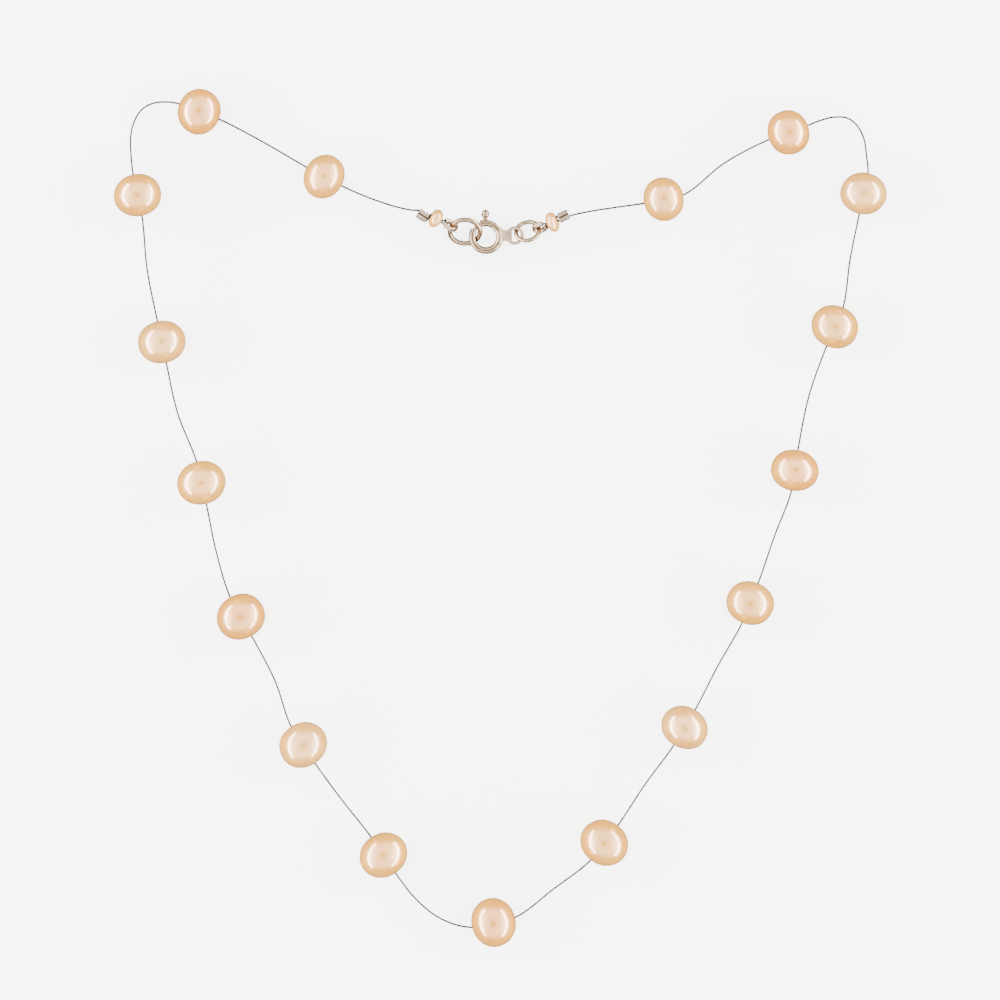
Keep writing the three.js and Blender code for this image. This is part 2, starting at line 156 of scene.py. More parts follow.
# Spring-ring clasp, about its own centre. Angles run round the ring, from the tail's middle.
CLASP_R = 2.44
TUBE = {"r": 0.62, "hole_r": 0.46, "from": 150, "to": 473, "fillet": 0.09}
SLOT = {"from": 34, "to": 102, "height": 0.64}
BOLT = {"r": 0.36, "rear": 75, "tip": 156, "fillet": 0.12}
KNOB = {"angle": 91.5, "foot": 2.74, "centre": 4.07, "ball_r": 0.72}
KNOB_NECK = {"y": 0.45, "z": 0.26, "top_z": 0.42, "widens_over": 0.25}
KNOB_ROUND = {"join": 2.48, "top": 0.03}  # radians round the ball, from its outermost point
SPRING = {"front": 72.5, "rear": -60, "coil_r": 0.3, "wire_r": 0.045, "turns": 18}
EYE = {"x": 5.09, "y": 0.21, "radius": 1.35, "wire": 0.29}
NECK = {"from": 2.6, "waist_x": 3.5, "to": 4.6, "flare": 1.55, "waist": 0.95, "eye": 1.4}
NECK_THICKNESS = (1.05, 0.5)  # at the tube and at the eye
NECK_ROUND = {"thick": 0.35, "wide": 0.5}  # its section: 1 is an ellipse, 0 a rectangle
COLLAR = {"reach": 31, "over": 0.02, "fillet": 0.4}  # the tail's solder round the tube
SEAT = {"reach": 60, "under": 0.03}  # the tail ends this far under the tube's surface
TAIL_VOXEL = 0.045  # the tail's parts are fused on a grid this fine, and smoothed this often
TAIL_SMOOTHING = 5

# Studio: light levels, watts and metres
TENT_LEVEL = 3.9
TENT_HORIZON = (0.03, (0.04, 0.038, 0.035))  # height, as a share, and colour
TENT_WALL = (0.6, (1.0, 0.99, 0.98))
TENT_TOP = ((0.85, 0.85), (0.966, 0.72), (0.985, 0.04))  # height and level, up to the lens
SIDE_GLOW = {"from": 0.5, "to": 0.98, "level": 2.6}  # distance aside, as a share
BACKGROUND_LEVEL = 2.2
SOFTBOX = {"aside": 0.78, "height": 0.21, "size": (2.2, 0.22), "power": 32.0}
FLOOR_GLOW = 3.2
FLOOR_WHITE = (0.9, 0.9, 0.9)
FLOOR_REFLECTED = (0.05, 0.048, 0.045)
FLOOR_HALF = 2.0
FLOOR_DROP = 0.01  # millimetres below the pearls, so that the two do not flicker

# Meshes: distances between the rings of a rod, and the shapes that only cut
FINE_STEP = 0.08
TAIL_STEP = 0.1
RING_STEP = 0.12
CUTTER_FILLET = 0.05
BORE_OVERRUN = 4  # degrees that the clasp's bore is drilled past the ends of its tube


# ---- small helpers ---------------------------------------------------------------------------

def unit(v):
    v = np.asarray(v, float)
    return v / np.linalg.norm(v)


def direction(heading, fall=0.0):
    """A level heading, falling by fall degrees below the horizontal."""
    h, f = math.radians(heading), math.radians(fall)
    return np.array([math.cos(f) * math.cos(h), math.cos(f) * math.sin(h), -math.sin(f)])


def circle(radius, angles):
    """Points of a level circle about the origin."""
    a = np.radians(angles)
    return np.stack([radius * np.cos(a), radius * np.sin(a), np.zeros_like(a)], axis=-1)


def placed(points, origin, forward, side):
    """Puts local X along forward and local Y as near as possible to side, at origin."""
    x = unit(forward)
    z = unit(np.cross(x, side))
    y = np.cross(z, x)
    return np.asarray(points) @ np.stack([x, y, z]) + origin


def joint(name):
    """A joint's point in millimetres, and its axis."""
    found = next(j for j in frame["joints"] if j["name"] == name)
    return np.array(found["pos_m"]) / MM, unit(found["axis"])


def box_centre(node_name):
    low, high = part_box(node_name)
    return (np.array(low) + np.array(high)) / 2 / MM


def curve_through(points, spacing):
    """A smooth curve through the points (centripetal Catmull-Rom), sampled evenly enough."""
    points = np.asarray(points, float)
    ends = [2 * points[0] - points[1], 2 * points[-1] - points[-2]]
    p = np.vstack([ends[0], points, ends[1]])
    made = [points[0]]
    for a, b, c, d in zip(p, p[1:], p[2:], p[3:]):
        knots = np.cumsum([0] + [math.sqrt(np.linalg.norm(q - r)) for q, r in
                                 ((b, a), (c, b), (d, c))])
        count = max(1, math.ceil(np.linalg.norm(c - b) / spacing))
        for t in np.linspace(knots[1], knots[2], count + 1)[1:]:
            made.append(catmull_rom((a, b, c, d), knots, t))
    return np.array(made)


def catmull_rom(points, knots, t):
    """One point of the curve between the middle two of four points."""
    level = list(points)
    for width in (1, 2, 3):
        span = range(4 - width)
        low = [knots[i] if width < 3 else knots[1] for i in span]
        high = [knots[i + width] if width < 3 else knots[2] for i in span]
        level = [
            ((hi - t) * level[i] + (t - lo) * level[i + 1]) / (hi - lo)
            for i, lo, hi in zip(span, low, high)
        ]
    return level[0]


def stations(total, step, fillet):
    """Distances along a rod: closer together where its ends are rounded."""
    bend = fillet * (1 - np.cos(np.radians(np.linspace(0, 90, 6))))
    middle = np.linspace(fillet, total - fillet, max(2, math.ceil(total / step)))
    return np.concatenate([bend[:-1], middle, (total - bend[:-1])[::-1]])


def end_scale(at, total, radius, fillet):
    """How much of its radius a rod with rounded ends has, at each distance along it."""
    d = np.clip(np.minimum(at, total - at) / fillet, 0, 1)
    return 1 - fillet / radius * (1 - np.sqrt(1 - (1 - d) ** 2))


# ---- meshes ----------------------------------------------------------------------------------

def skin(name, rings, closed=False):
    """A closed surface through rings of points. Its UV map counts rings and places on them."""
    n, m = rings.shape[:2]
    faces = []
    uvs = []
    for i in range(n if closed else n - 1):
        after = (i + 1) % n
        for j in range(m):
            k = (j + 1) % m
            faces.append((i * m + j, i * m + k, after * m + k, after * m + j))
            uvs += [(i, j), (i, j + 1), (i + 1, j + 1), (i + 1, j)]
    if not closed:
        faces.append(tuple(range(m))[::-1])
        faces.append(tuple((n - 1) * m + j for j in range(m)))
        uvs += [(0, 0)] * m + [(n - 1, 0)] * m
    mesh = bpy.data.meshes.new(name)
    mesh.from_pydata(rings.reshape(-1, 3).tolist(), [], faces)
    layer = mesh.uv_layers.new(name="place")
    layer.data.foreach_set("uv", (np.array(uvs, float) / (n, m)).ravel())
    if volume(mesh) < 0:
        mesh.flip_normals()
    made = bpy.data.objects.new(name, mesh)
    bpy.context.collection.objects.link(made)
    return made


def volume(mesh):
    """The volume inside a closed mesh: negative where its faces look inwards."""
    shape = bmesh.new()
    shape.from_mesh(mesh)
    inside = shape.calc_volume(signed=True)
    shape.free()
    return inside


def rod_rings(points, radius, sides):
    """Round rings along a path, turning as little as they can from one to the next."""
    points = np.asarray(points, float)
    tangents = np.gradient(points, axis=0)
    tangents /= np.linalg.norm(tangents, axis=1)[:, None]
    turn = np.linspace(0, 2 * math.pi, sides, endpoint=False)
    normal = np.array([0.0, 0.0, 1.0])
    rings = []
    for point, tangent in zip(points, tangents):
        normal = unit(normal - tangent * (normal @ tangent))
        other = np.cross(tangent, normal)
        spokes = np.outer(np.cos(turn), normal) + np.outer(np.sin(turn), other)
        rings.append(point + radius * spokes)
    return np.array(rings)


def arc_rings(radius, tube_r, start, stop, step, sides, fillet):
    """Rings of a rod bent round the origin, with rounded ends."""
    total = math.radians(stop - start) * radius
    at = stations(total, step, fillet)
    angles = np.radians(start) + at / radius
    scale = end_scale(at, total, tube_r, fillet) * tube_r
    turn = np.linspace(0, 2 * math.pi, sides, endpoint=False)
    out = radius + np.outer(scale, np.cos(turn))
    up = np.outer(scale, np.sin(turn))
    return np.stack([out * np.cos(angles)[:, None], out * np.sin(angles)[:, None], up], axis=-1)


def changed(obj, kind, **settings):
    """Applies one modifier to obj for good."""
    modifier = obj.modifiers.new(kind.lower(), kind)
    for key, value in settings.items():
        setattr(modifier, key, value)
    graph = bpy.context.evaluated_depsgraph_get()
    mesh = bpy.data.meshes.new_from_object(obj.evaluated_get(graph))
    obj.modifiers.clear()
    obj.data = mesh
    return obj


def cut(obj, *tools):
    """Takes the tools' shapes away from obj, and throws the tools away."""
    for tool in tools:
        changed(obj, "BOOLEAN", operation="DIFFERENCE", object=tool, solver="EXACT")
        bpy.data.objects.remove(tool)


def fused(name, parts, voxel, smoothing):
    """One smooth body out of overlapping ones, with soft fillets where they meet."""
    with bpy.context.temp_override(active_object=parts[0], selected_editable_objects=parts):
        bpy.ops.object.join()
    whole = parts[0]
    whole.name = name
    changed(whole, "REMESH", mode="VOXEL", voxel_size=voxel)
    return changed(whole, "SMOOTH", factor=0.5, iterations=smoothing)


def move(obj, origin, forward=(1, 0, 0), side=(0, 1, 0)):
    """Takes a mesh from its local frame to its place on the necklace."""
    co = np.array([v.co for v in obj.data.vertices])
    obj.data.vertices.foreach_set("co", placed(co, origin, forward, side).ravel())


def finish_piece(obj, material, nodes, body=None, sharp=40):
    """Last steps of every piece: metres, shading, finish, and the CAD it stands for."""
    mesh = obj.data
    mesh.transform(Matrix.Scale(MM, 4))
    mesh.polygons.foreach_set("use_smooth", [True] * len(mesh.polygons))
    mesh.set_sharp_from_angle(angle=math.radians(sharp))
    mesh.materials.clear()
    mesh.materials.append(material)
    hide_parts(*nodes)
    if body:
        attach(obj, body)


# ---- materials -------------------------------------------------------------------------------

def node(tree, kind, inputs=None, **settings):
    """A shader node. Each input is a value, or the socket that it is linked to."""
    made = tree.nodes.new(kind)
    for key, value in settings.items():
        setattr(made, key, value)
    for key, value in (inputs or {}).items():
        if isinstance(value, bpy.types.NodeSocket):
            tree.links.new(value, made.inputs[key])
        else:
            made.inputs[key].default_value = value
    return made


def shader(name, **sockets):
    """A material with one Principled shader, whose sockets are named in words."""
    material = bpy.data.materials.new(name)
    material.use_nodes = True
    tree = material.node_tree
    surface = tree.nodes["Principled BSDF"]
    for key, value in sockets.items():
        surface.inputs[key.replace("_", " ")].default_value = value
    return material, tree, surface


def millimetres(tree):
    """The place on the object, in millimetres."""
    place = node(tree, "ShaderNodeTexCoord")
    scaled = node(tree, "ShaderNodeVectorMath", {0: place.outputs["Object"]}, operation="SCALE")
    scaled.inputs["Scale"].default_value = 1 / MM
    return scaled.outputs["Vector"]


def on_skin(tree):
    """The place on a piece's skin: the share along it, and the share of a turn round it."""
    place = node(tree, "ShaderNodeUVMap", uv_map="place")
    split = node(tree, "ShaderNodeSeparateXYZ", {0: place.outputs[0]})
    return split.outputs[0], split.outputs[1]


def maths(tree, operation, *values):
    return node(tree, "ShaderNodeMath", dict(enumerate(values)), operation=operation).outputs[0]


def noise_at(tree, vector, scale, detail=2.0, roughness=0.5):
    made = node(tree, "ShaderNodeTexNoise", {"Vector": vector, "Scale": scale,
                                             "Detail": detail, "Roughness": roughness})
    return made.outputs["Fac"]


def ranged(tree, value, low, high):
    """value, which runs from 0.3 to 0.7, taken to the range from low to high."""
    made = node(tree, "ShaderNodeMapRange", {"Value": value, "From Min": 0.3, "From Max": 0.7,
                                             "To Min": low, "To Max": high})
    return made.outputs["Result"]


def mixed(tree, share, a, b):
    """From a to b by share. Each is a colour, or the socket that a colour comes from."""
    made = node(tree, "ShaderNodeMix", {"Factor": share}, data_type="RGBA")
    for name, colour in (("A", a), ("B", b)):
        if isinstance(colour, bpy.types.NodeSocket):
            tree.links.new(colour, made.inputs[name])
        else:
            made.inputs[name].default_value = (*colour, 1)
    return made.outputs["Result"]


def bumped(tree, surface, height, depth):
    """Raises the surface by height, at most depth millimetres."""
    made = node(tree, "ShaderNodeBump", {"Height": height, "Strength": 1.0,
                                         "Distance": depth * MM})
    tree.links.new(made.outputs["Normal"], surface.inputs["Normal"])


def nacre(name, pale, deep):
    """Pearl: a saturated body under a strong, slightly hazy reflection."""
    material, tree, surface = shader(
        name, IOR=1.5, Metallic=0.25, Coat_Weight=1.0, Coat_Roughness=0.22, Coat_IOR=2.4,
        Thin_Film_Thickness=330.0, Thin_Film_IOR=1.35)
    place = millimetres(tree)
    clouds = noise_at(tree, place, 0.22, 3.0)
    tree.links.new(mixed(tree, ranged(tree, clouds, 0, 1), pale, deep),
                   surface.inputs["Base Color"])
    along, _ = on_skin(tree)
    bands = node(tree, "ShaderNodeCombineXYZ", {0: along})
    growth = noise_at(tree, bands.outputs[0], 26.0, 2.0)
    dents = noise_at(tree, place, 0.5, 2.0)
    bumped(tree, surface, maths(tree, "MULTIPLY_ADD", growth, 0.03, dents), 0.04)
    tree.links.new(ranged(tree, growth, 0.12, 0.22), surface.inputs["Roughness"])
    return material


def metal(name, pale, deep, low, high, scratch=0.004):
    """Polished plate, uneven in colour and in roughness, low to high, with fine scratches."""
    material, tree, surface = shader(name, Metallic=1.0)
    place = millimetres(tree)
    tint = noise_at(tree, place, 0.9, 3.0)
    tree.links.new(mixed(tree, ranged(tree, tint, 0, 1), pale, deep),
                   surface.inputs["Base Color"])
    smears = noise_at(tree, place, 2.2, 4.0, 0.6)
    tree.links.new(ranged(tree, smears, low, high), surface.inputs["Roughness"])
    stretched = node(tree, "ShaderNodeVectorMath", {0: place, 1: (3.0, 14.0, 9.0)},
                     operation="MULTIPLY")
    bumped(tree, surface, noise_at(tree, stretched.outputs[0], 1.6, 5.0, 0.65), scratch)
    return material


def with_painted_crease_shade(material):
    """Paints shade into a pressed tube's metal: darker along the dents on its two flat sides,
    where the crease lies in shade.
    """
    tree = material.node_tree
    colour = tree.nodes["Principled BSDF"].inputs["Base Color"]
    _, turn = on_skin(tree)
    aside = maths(tree, "COSINE", maths(tree, "MULTIPLY", turn, 2 * math.pi))
    # clear is the share of the turn that stays out of the painted shade in the dents
    clear = node(tree, "ShaderNodeMapRange", {"Value": maths(tree, "ABSOLUTE", aside),
                                              "From Min": 0.15, "From Max": 0.45},
                 interpolation_type="SMOOTHSTEP")
    unshaded = colour.links[0].from_socket
    tree.links.new(mixed(tree, clear.outputs["Result"], CREASE_PAINTED_SHADE, unshaded), colour)
    return material


def beading_wire_finish():
    """Fine steel strands laid in a long helix, under a clear nylon coat, with painted shade:
    darker in the grooves between the strands than on their crests.
    """
    material, tree, surface = shader("beading_wire_steel", Metallic=0.85, Coat_Weight=0.2,
                                     Coat_Roughness=0.18)
    along, round_wire = on_skin(tree)
    lay = maths(tree, "MULTIPLY", along, WIRE_LAYS)
    strand = maths(tree, "MULTIPLY_ADD", round_wire, WIRE_STRANDS, lay)
    wave = maths(tree, "SINE", maths(tree, "MULTIPLY", strand, 2 * math.pi))
    share = maths(tree, "MULTIPLY_ADD", wave, 0.5, 0.5)
    # painted shade: the base colour darkens in the grooves between the strands
    tree.links.new(mixed(tree, share, WIRE_GROOVE_SHADE, WIRE_CREST), surface.inputs["Base Color"])
    wear = noise_at(tree, millimetres(tree), 1.2, 3.0)
    tree.links.new(ranged(tree, wear, 0.28, 0.46), surface.inputs["Roughness"])
    bumped(tree, surface, share, 0.02)
    return material


# Painted shade for the dents along the crimps' flat sides
CREASE_PAINTED_SHADE = (0.045, 0.032, 0.024)
# Painted shade in the grooves between the wire's strands, and the colour of the strands' crests
WIRE_GROOVE_SHADE = (0.016, 0.0155, 0.015)
WIRE_CREST = (0.05, 0.049, 0.047)
NACRES = {
    "peach": nacre("nacre_peach", (0.80, 0.38, 0.035), (0.76, 0.31, 0.012)),
    "apricot": nacre("nacre_apricot", (0.80, 0.35, 0.02), (0.76, 0.28, 0.008)),
    "blush": nacre("nacre_blush", (0.82, 0.41, 0.08), (0.79, 0.34, 0.035)),
}
SILVER = metal("silver_plate", (0.46, 0.32, 0.19), (0.26, 0.175, 0.105), 0.1, 0.2)
SILVER_DRAWN = metal("silver_plate_drawn", (0.58, 0.42, 0.28), (0.40, 0.28, 0.18), 0.2, 0.34)
# The crimps' metal, with painted shade in its dents
SILVER_PRESSED = with_painted_crease_shade(metal("silver_plate_pressed", (0.46, 0.34, 0.24), (0.26, 0.19, 0.14),
                                 0.22, 0.4, scratch=0.02))
SILVER_SOFT = metal("silver_plate_soft", (0.68, 0.51, 0.37), (0.52, 0.38, 0.27), 0.3, 0.44)
SILVER_WORN = metal("silver_plate_worn", (0.56, 0.41, 0.28), (0.38, 0.27, 0.18), 0.26, 0.4)
SPRING_METAL = metal("spring_metal", (0.55, 0.30, 0.12), (0.42, 0.22, 0.08), 0.2, 0.34)
WIRE_STEEL = beading_wire_finish()


# ---- camera ----------------------------------------------------------------------------------

def add_camera():
    data = bpy.data.cameras.new("camera")
    data.sensor_width = SENSOR
    data.lens = SENSOR * CAMERA_HEIGHT / VIEW_WIDTH
    data.clip_start = 0.01
    camera = bpy.data.objects.new("camera", data)
    camera.location = Vector((*VIEW_CENTRE, CAMERA_HEIGHT + PEARL_MIDDLE)) * MM
    bpy.context.collection.objects.link(camera)
    bpy.context.scene.camera = camera


add_camera()


# ---- the strand's layout ---------------------------------------------------------------------

def end_layout(side):
    """Where one end's ring, guard, pearl and crimp sit, from the frame's joints and boxes."""
    end, ring = ENDS[side], RINGS[side]
    centre, normal = joint(f"{side}_jump_ring_turn")
    level = direction(ring["heading"])
    across = np.cross(normal, level)
    angle = math.radians(end["hook"])
    hook = centre + ring["radius"] * (math.cos(angle) * level + math.sin(angle) * across)
    ring_run = math.cos(angle) * across - math.sin(angle) * level
    guard_axis = direction(*end["guard"])
    pearl_mid, pearl_axis = joint(f"{side}_end_pearl_spin")
    crimp_axis = direction(*end["crimp"])
    tail_side = unit(np.cross(crimp_axis, (0, 0, 1)))
    spread = unit(np.cross(ring_run, guard_axis))
    if spread @ tail_side < 0:
        spread = -spread
    return {
        "ring_centre": centre, "ring_level": level, "ring_across": across, "hook": hook,
        "guard_axis": guard_axis, "spread": spread, "pearl_mid": pearl_mid,
        "pearl_axis": pearl_axis, "crimp_mid": box_centre(f"crimp_tube_{side}"),
        "crimp_axis": crimp_axis, "tail_side": tail_side,
    }


LAYOUT = {side: end_layout(side) for side in ENDS}


def guard_path(step):
    """The guard's centreline in its own plane: local X runs from the pearl to the bend."""
    leg, half, bend = GUARD["leg"], GUARD["leg_spread"], GUARD["bend_r"]
    touch = math.degrees(math.atan2(half, -leg) - math.acos(bend / math.hypot(leg, half)))
    arc = circle(bend, np.linspace(touch, -touch, 33))
    ends = [np.array([-leg, sign * half, 0]) for sign in (1, -1)]
    count = math.ceil(np.linalg.norm(arc[0] - ends[0]) / step)
    share = np.linspace(0, 1, count, endpoint=False)[:, None]
    leg_in = ends[0] + share * (arc[0] - ends[0])
    leg_out = ends[1] + share * (arc[-1] - ends[1])
    return np.vstack([leg_in, arc, leg_out[::-1]])


def doubled_end(side):
    """The trimmed tail in the crimp, through the pearl, round the guard and back."""
    end = LAYOUT[side]
    crimp_half, pearl_half = CRIMP["length"] / 2, ENDS[side]["pearl_length"] / 2
    middle = unit(end["tail_side"] + end["spread"])

    def strand(sign):
        in_crimp = sign * STRAND_SPREAD_CRIMP * end["tail_side"]
        return [
            end["crimp_mid"] - crimp_half * end["crimp_axis"] + in_crimp,
            end["crimp_mid"] + (crimp_half + STRAND_STUB) * end["crimp_axis"] + in_crimp,
            end["pearl_mid"] - pearl_half * end["pearl_axis"]
            + sign * STRAND_SPREAD_PEARL * middle,
            end["pearl_mid"] + pearl_half * end["pearl_axis"]
            + sign * STRAND_SPREAD_PEARL * end["spread"],
        ]

    loop = placed(guard_path(1.0), end["hook"], end["guard_axis"], end["spread"])
    return [*strand(1), *loop, *strand(-1)[::-1]]


def pearl_node(i):
    return f"pearl_{i + 1:02d}"


def wire_route():
    """The points that the wire's middle line passes through, from its left end to its right."""
    left, right = doubled_end("left"), doubled_end("right")[::-1]
    route = list(left)
    bores = []
    for i, (heading, length, _) in enumerate(PEARLS):
        half = direction(heading) * length / 2
        bores.append((box_centre(pearl_node(i)) - half, box_centre(pearl_node(i)) + half))
    starts = [left[-1]] + [leaves for _, leaves in bores]
    stops = [enters for enters, _ in bores] + [right[0]]
    for i, stretch in enumerate(STRETCHES):
        for k, (x, y) in enumerate(stretch):
            share = (k + 1) / (len(stretch) + 1)
            route.append(np.array([x, y, starts[i][2] + share * (stops[i][2] - starts[i][2])]))
        if i < len(bores):
            route += bores[i]
    return route + list(right)


# ---- the beading wire ------------------------------------------------------------------------

def add_wire():
    path = curve_through(wire_route(), WIRE_SPACING)
    wire = skin("wire_strand", rod_rings(path, WIRE_R, 12))
    finish_piece(wire, WIRE_STEEL, ["beading_wire"], "strand", sharp=60)


add_wire()


# ---- pearls ----------------------------------------------------------------------------------

def pearl_profile(radius, half, bore, steps):
    """Outline from one end of the bore to the other, and back through it: x and radius."""
    start = math.asin((bore + PEARL_LIP["rim"]) / radius)
    a = np.linspace(start, math.pi - start, steps)
    outer = np.stack([-half * np.cos(a), radius * np.sin(a) ** PEARL_FULLNESS], axis=-1)
    lip = PEARL_LIP["round"]
    end = outer[-1, 0]
    turn = np.radians([30, 60, 90])
    mouth = np.stack([end - lip * (1 - np.cos(turn)), bore + lip * (1 - np.sin(turn))], axis=-1)
    inner = np.stack([np.linspace(end - 2 * lip, 2 * lip - end, 12), np.full(12, bore)], axis=-1)
    return np.vstack([outer, mouth, inner, mouth[::-1] * (-1, 1)])


def lumps(direction_from_centre, seed):
    """The share by which a freshwater pearl's surface swells in a direction."""
    p = Vector(direction_from_centre)
    shift = Vector((seed * 3.1, seed * 1.7, seed * 2.3))
    share, frequency = PEARL_LUMPS["broad"]
    broad = share * noise.noise(p * frequency + shift)
    share, frequency = PEARL_LUMPS["fine"]
    fine = share * noise.noise(p * frequency + shift)
    share, frequency = PEARL_LUMPS["growth"]
    growth = share * math.sin(p.x * frequency + seed) * noise.noise(p * 1.5 - shift)
    return broad + fine + growth


def pearl_skin(name, radius, length, bore, seed, swell=1.0):
    """A drilled pearl about the origin, with its bore along X."""
    profile = pearl_profile(radius, length / 2, bore, 72)
    turn = np.linspace(0, 2 * math.pi, 96, endpoint=False)
    x = np.repeat(profile[:, 0][:, None], len(turn), axis=1)
    r = profile[:, 1][:, None]
    rings = np.stack([x, r * np.cos(turn), r * np.sin(turn)], axis=-1)
    grown = swell * np.array([[lumps(p / radius, seed) for p in ring] for ring in rings])
    off_bore = np.clip((r - bore) / (LUMP_FADE * radius), 0, 1)
    rings[..., 1:] *= (1 + grown * off_bore)[..., None]
    return skin(name, rings, closed=True)


def stand(obj, centre_z):
    """Stretches the lower half of a resting pearl so that it just meets the table."""
    co = np.array([v.co for v in obj.data.vertices])
    lower = co[:, 2] < centre_z
    scale = centre_z / (centre_z - co[:, 2].min())
    co[lower, 2] = centre_z + (co[lower, 2] - centre_z) * scale
    obj.data.vertices.foreach_set("co", co.ravel())


def add_main_pearl(i):
    heading, length, finish = PEARLS[i]
    centre = box_centre(pearl_node(i))
    low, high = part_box(pearl_node(i))
    radius = (high[2] - low[2]) / MM / 2
    pearl = pearl_skin(f"nacre_{i + 1:02d}", radius, length, BORE_R["main"], i + 1)
    move(pearl, centre, direction(heading), (0, 0, 1))
    stand(pearl, centre[2])
    finish_piece(pearl, NACRES[finish], [pearl_node(i)], "strand", sharp=75)


def add_end_pearl(side, seed):
    end, axis = ENDS[side], LAYOUT[side]["pearl_axis"]
    node_name = f"end_pearl_{side}"
    pearl = pearl_skin(f"nacre_end_{side}", end["pearl_r"], end["pearl_length"], BORE_R["end"],
                       seed, END_PEARL_SWELL)
    move(pearl, box_centre(node_name), axis, np.cross(axis, (0, 0, 1)))
    finish_piece(pearl, NACRES["blush"], [node_name], f"{side}_end_pearl", sharp=75)


for i in range(len(PEARLS)):
    add_main_pearl(i)
for i, side in enumerate(ENDS):
    add_end_pearl(side, END_PEARL_SEED + i)


# ---- jump rings, wire guards and crimps ------------------------------------------------------

def add_jump_ring(side):
    ring, end = RINGS[side], LAYOUT[side]
    start = RING_SEAM["at"] + RING_SEAM["gap"] / 2
    rings = arc_rings(ring["radius"], ring["wire"], start, start + 360 - RING_SEAM["gap"],
                      step=RING_STEP, sides=40, fillet=RING_END_FILLET)
    piece = skin(f"ring_{side}", rings)
    move(piece, end["ring_centre"], end["ring_level"], end["ring_across"])
    finish_piece(piece, SILVER, [f"jump_ring_{side}"], f"{side}_jump_ring", 50)


def guard_rings():
    """Rings of a thin tube bent into a U, slit open along the outside of its bend."""
    path = guard_path(FINE_STEP)
    tangents = np.gradient(path, axis=0)
    tangents /= np.linalg.norm(tangents, axis=1)[:, None]
    outward = np.cross(tangents, (0, 0, -1))
    bend = np.abs(np.degrees(np.arctan2(path[:, 1], path[:, 0])))
    slit = GUARD_OPENING
    share = np.clip((slit["starts"] - bend) / (slit["starts"] - slit["full"]), 0, 1)
    share = share * share * (3 - 2 * share)
    opening = slit["leg"] + share * (slit["bend"] - slit["leg"])
    outer_r, inner_r = GUARD["tube_r"], GUARD["tube_r"] - GUARD["wall"]
    rings = []
    for point, out, half in zip(path, outward, np.radians(opening)):
        sweep = np.linspace(half, 2 * math.pi - half, 28)
        outer = [outer_r * (math.cos(a) * out + math.sin(a) * np.array([0, 0, 1])) for a in sweep]
        inner = [inner_r * (math.cos(a) * out + math.sin(a) * np.array([0, 0, 1]))
                 for a in sweep[::-1]]
        rings.append([point + spoke for spoke in outer + inner])
    return np.array(rings)


def add_guard(side):
    end = LAYOUT[side]
    piece = skin(f"guard_{side}", guard_rings())
    changed(piece, "BEVEL", width=GUARD_EDGE, segments=2, limit_method="ANGLE",
            angle_limit=math.radians(50))
    move(piece, end["hook"], end["guard_axis"], end["spread"])
    finish_piece(piece, SILVER_SOFT, [f"wire_guard_{side}"], "strand", 60)


def add_crimp(side):
    """A tube pressed round the two strands, with the plier's dent along its middle."""
    end = LAYOUT[side]
    total = CRIMP["length"]
    at = stations(total, FINE_STEP, CRIMP["fillet"])
    turn = np.linspace(0, 2 * math.pi, 80, endpoint=False)
    rings = []
    for x, scale in zip(at, end_scale(at, total, CRIMP["lobe_r"], CRIMP["fillet"])):
        off_middle = abs(2 * x / total - 1)
        waist = CRIMP["waist"] * (1 - CRIMP_DENT + CRIMP_DENT * off_middle ** 2)
        lobes = CRIMP["lobe"] * np.abs(np.cos(turn))
        reach = scale * (lobes ** CRIMP_BLEND + waist ** CRIMP_BLEND) ** (1 / CRIMP_BLEND)
        rings.append(np.stack([np.full_like(turn, x - total / 2), reach * np.cos(turn),
                               reach * np.sin(turn)], axis=-1))
    piece = skin(f"crimp_{side}", np.array(rings))
    for sign in (-1, 1):
        line = [(x, sign * CRIMP["hole_y"], 0) for x in np.linspace(-total, total, 5)]
        cut(piece, skin("drill", rod_rings(line, CRIMP["hole_r"], 24)))
    move(piece, end["crimp_mid"], end["crimp_axis"], end["tail_side"])
    finish_piece(piece, SILVER_PRESSED, [f"crimp_tube_{side}"], "strand", 45)


for side in ENDS:
    add_jump_ring(side)
    add_guard(side)
    add_crimp(side)


# ---- spring-ring clasp -----------------------------------------------------------------------

CLASP = joint("bolt_slide_back")[0]


def add_clasp_tube():
    """The hollow C of the clasp, slotted on its outside for the knob."""
    span = (TUBE["from"], TUBE["to"])
    piece = skin("spring_ring", arc_rings(CLASP_R, TUBE["r"], *span, step=FINE_STEP, sides=56,
                                          fillet=TUBE["fillet"]))
    bore = skin("bore", arc_rings(CLASP_R, TUBE["hole_r"], span[0] - BORE_OVERRUN,
                                  span[1] + BORE_OVERRUN, step=FINE_STEP, sides=40,
                                  fillet=CUTTER_FILLET))
    cut(piece, bore, slot_block())
    move(piece, CLASP)
    finish_piece(piece, SILVER, ["clasp_tube"], "clasp")


def slot_block():
    """What is cut from the tube's outside, for the knob's neck to slide in."""
    angles = np.radians(np.linspace(SLOT["from"], SLOT["to"], 24))
    half = SLOT["height"] / 2
    corners = [(CLASP_R, -half), (CLASP_R + 1, -half), (CLASP_R + 1, half), (CLASP_R, half)]
    rings = [[(r * math.cos(a), r * math.sin(a), z) for r, z in corners] for a in angles]
    return skin("slot", np.array(rings))


